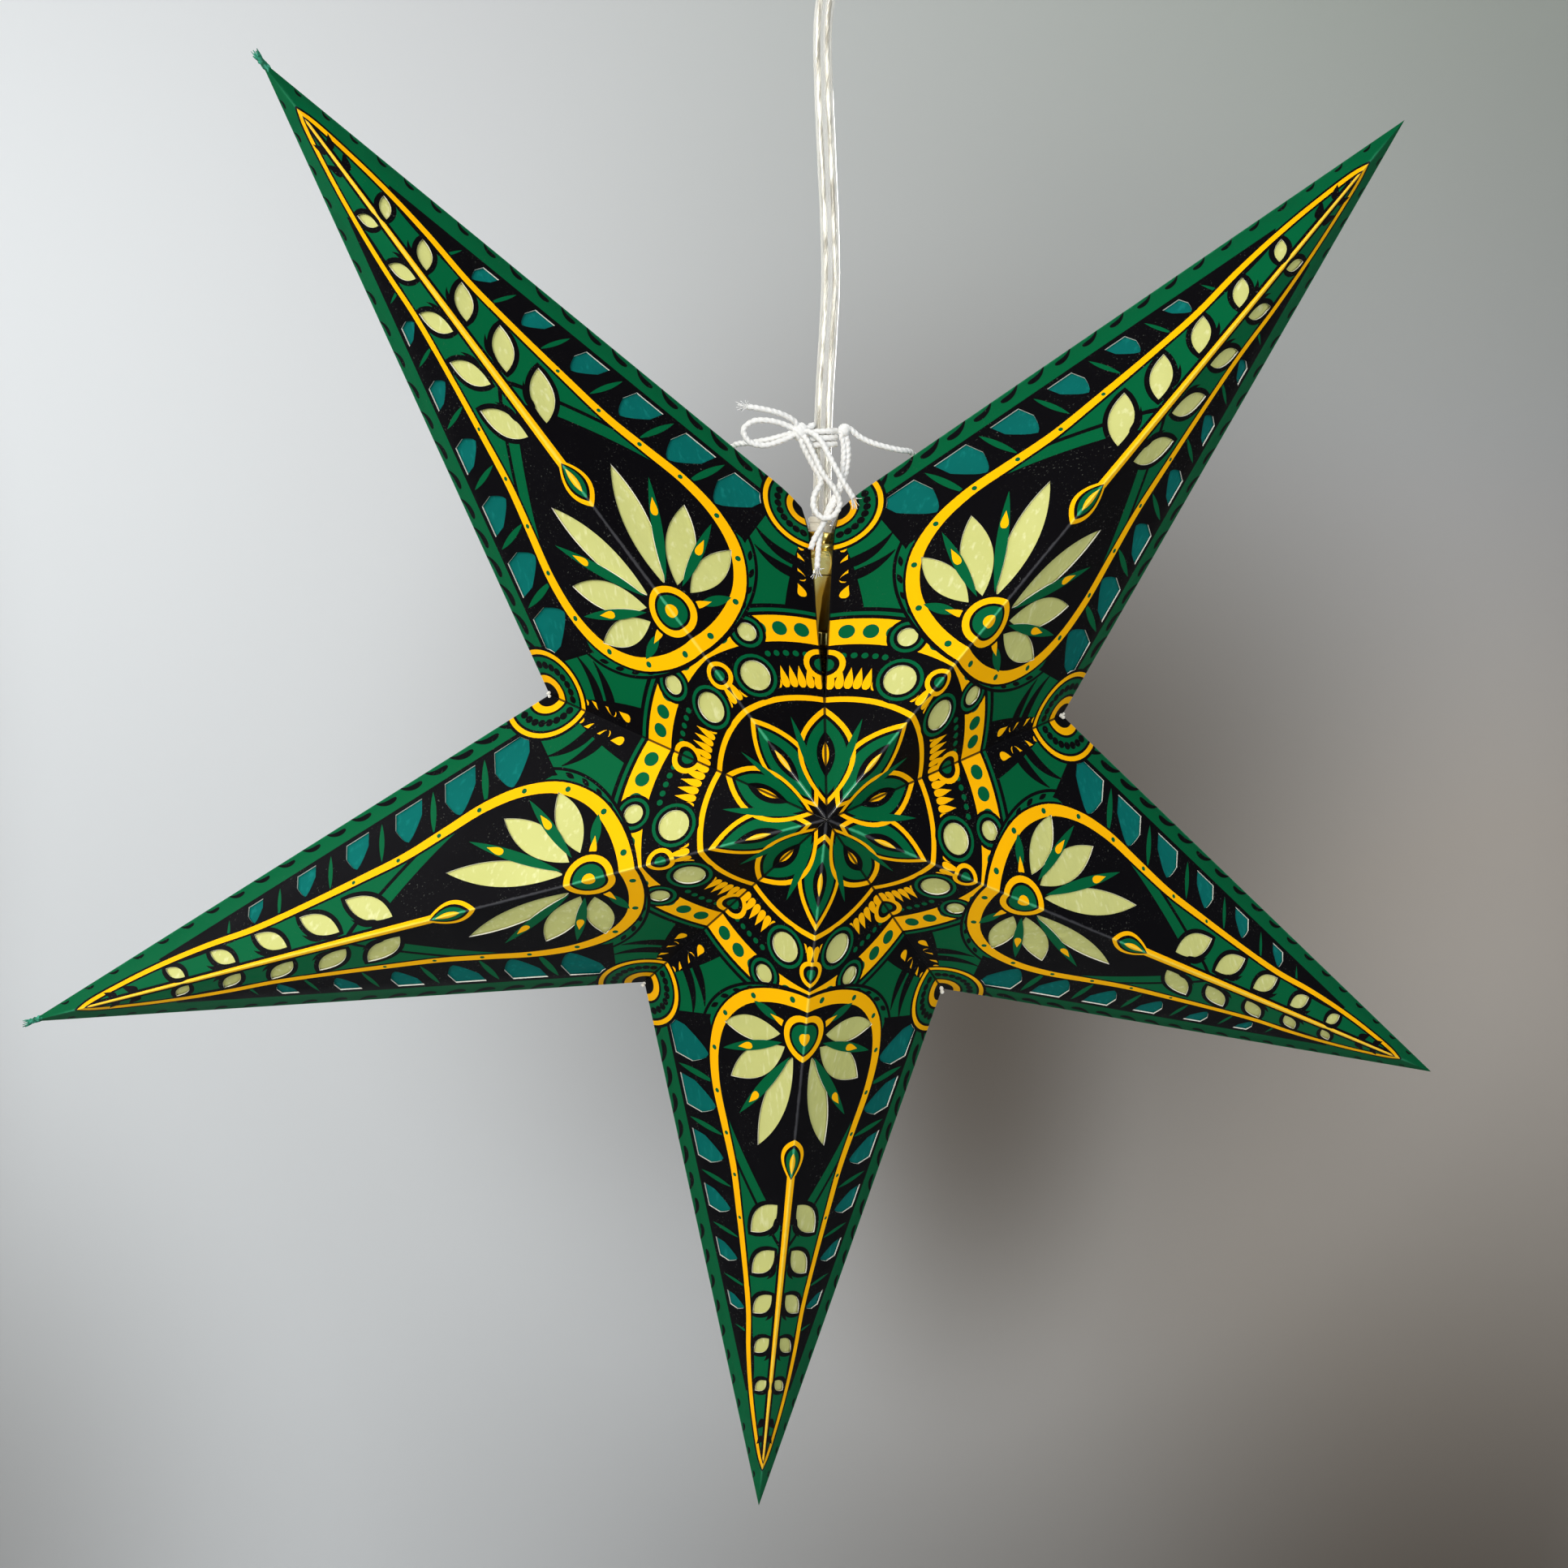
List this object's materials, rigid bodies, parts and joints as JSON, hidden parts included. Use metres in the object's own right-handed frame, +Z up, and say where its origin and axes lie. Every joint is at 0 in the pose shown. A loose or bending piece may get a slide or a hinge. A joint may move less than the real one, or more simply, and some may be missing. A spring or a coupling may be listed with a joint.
{
  "type": "paper star lantern",
  "caption": "Hanging paper star lantern: printed card arms with cut windows over coloured paper, tied round the cord of a small lamp inside.",
  "frame": {"origin": "centre of the ceiling rose on the ceiling", "axes": "+Z up to the ceiling, -Y towards the viewer of the printed front, +X to the right of the star seen from the front"},
  "size_m": [0.5523, 0.14, 0.6635],
  "materials": {
    "printed_card": "thin card printed in green, black and amber, satin, with white cut edges",
    "pale_paper": "translucent pale yellow-green tissue paper",
    "teal_paper": "translucent teal tissue paper",
    "cotton_string": "white twisted cotton",
    "clear_cord": "clear flexible sheath over silvery strands",
    "clear_plastic": "clear moulded cord grip",
    "gold_metal": "polished gold-coloured metal",
    "brass": "bare",
    "steel": "plated",
    "opal_glass": "opal",
    "white_plastic": "satin moulded"
  },
  "bodies": {
    "ceiling_rose": {"rose_base": "white_plastic", "rose_screw_left": "steel", "rose_screw_right": "steel", "terminal_block": "white_plastic", "rose_cover": "white_plastic", "rose_grip": "white_plastic"},
    "cord": {"lamp_cord": "clear_cord"},
    "lamp": {"holder_neck": "clear_plastic", "holder_dome": "gold_metal", "holder_shell": "gold_metal", "holder_core": "white_plastic", "holder_contact": "brass", "left_string": "cotton_string", "right_string": "cotton_string", "neck_wrap": "cotton_string", "bow_knot": "cotton_string", "bow_loop_side": "cotton_string", "bow_loop_down": "cotton_string", "bow_end_side": "cotton_string", "bow_end_down": "cotton_string"},
    "shade_ring": {"holder_ring": "gold_metal"},
    "bulb": {"bulb_cap": "steel", "bulb_tip": "brass", "bulb_glass": "opal_glass"},
    "upper_left_arm": {"card_upper_left": "printed_card", "pale_front_upper_left": "pale_paper", "pale_back_upper_left": "pale_paper", "teal_a_upper_left": "teal_paper", "teal_b_upper_left": "teal_paper"},
    "left_arm": {"card_left": "printed_card", "pale_front_left": "pale_paper", "pale_back_left": "pale_paper", "teal_a_left": "teal_paper", "teal_b_left": "teal_paper"},
    "bottom_arm": {"card_bottom": "printed_card", "pale_front_bottom": "pale_paper", "pale_back_bottom": "pale_paper", "teal_a_bottom": "teal_paper", "teal_b_bottom": "teal_paper"},
    "right_arm": {"card_right": "printed_card", "pale_front_right": "pale_paper", "pale_back_right": "pale_paper", "teal_a_right": "teal_paper", "teal_b_right": "teal_paper"},
    "upper_right_arm": {"card_upper_right": "printed_card", "pale_front_upper_right": "pale_paper", "pale_back_upper_right": "pale_paper", "teal_a_upper_right": "teal_paper", "teal_b_upper_right": "teal_paper"}
  },
  "joints": [
    {"name": "cord_swing", "type": "hinge", "parent": "ceiling_rose", "child": "cord", "pos_m": [0, 0, -0.054], "axis": [0, 1, 0], "range_deg": [-20, 20], "deforming": ["lamp_cord"]},
    {"name": "cord_twist", "type": "hinge", "parent": "cord", "child": "lamp", "pos_m": [0, 0, -0.266], "axis": [0, 0, 1], "range_deg": [-180, 180], "deforming": ["lamp_cord"]},
    {"name": "bulb_turn", "type": "hinge", "parent": "lamp", "child": "bulb", "pos_m": [0, 0, -0.31], "axis": [0, 0, 1], "range_deg": [0, 1800]},
    {"name": "ring_turn", "type": "hinge", "parent": "lamp", "child": "shade_ring", "pos_m": [0, 0, -0.3085], "axis": [0, 0, 1], "range_deg": [0, 720]},
    {"name": "star_drop", "type": "slide", "parent": "lamp", "child": "bottom_arm", "axis": [0, 0, -1], "range_m": [0, 0.18], "deforming": ["card_bottom", "pale_front_bottom", "pale_back_bottom", "teal_a_bottom", "teal_b_bottom"]},
    {"name": "left_fold", "type": "hinge", "parent": "bottom_arm", "child": "left_arm", "pos_m": [0, 0, -0.362], "axis": [0, 1, 0], "range_deg": [-69, 0], "deforming": ["card_left", "pale_front_left", "pale_back_left", "teal_a_left", "teal_b_left"]},
    {"name": "upper_left_fold", "type": "hinge", "parent": "bottom_arm", "child": "upper_left_arm", "pos_m": [0, 0, -0.362], "axis": [0, 1, 0], "range_deg": [-137.5, 0], "deforming": ["card_upper_left", "pale_front_upper_left", "pale_back_upper_left", "teal_a_upper_left", "teal_b_upper_left"]},
    {"name": "right_fold", "type": "hinge", "parent": "bottom_arm", "child": "right_arm", "pos_m": [0, 0, -0.362], "axis": [0, 1, 0], "range_deg": [0, 69], "deforming": ["card_right", "pale_front_right", "pale_back_right", "teal_a_right", "teal_b_right"]},
    {"name": "upper_right_fold", "type": "hinge", "parent": "bottom_arm", "child": "upper_right_arm", "pos_m": [0, 0, -0.362], "axis": [0, 1, 0], "range_deg": [0, 137.5], "deforming": ["card_upper_right", "pale_front_upper_right", "pale_back_upper_right", "teal_a_upper_right", "teal_b_upper_right"]}
  ],
  "couplings": [
    {"joint": "left_fold", "follows": "star_drop", "rad_per_m": -6.6419},
    {"joint": "upper_left_fold", "follows": "star_drop", "rad_per_m": -13.284},
    {"joint": "right_fold", "follows": "star_drop", "rad_per_m": 6.6419},
    {"joint": "upper_right_fold", "follows": "star_drop", "rad_per_m": 13.284}
  ]
}
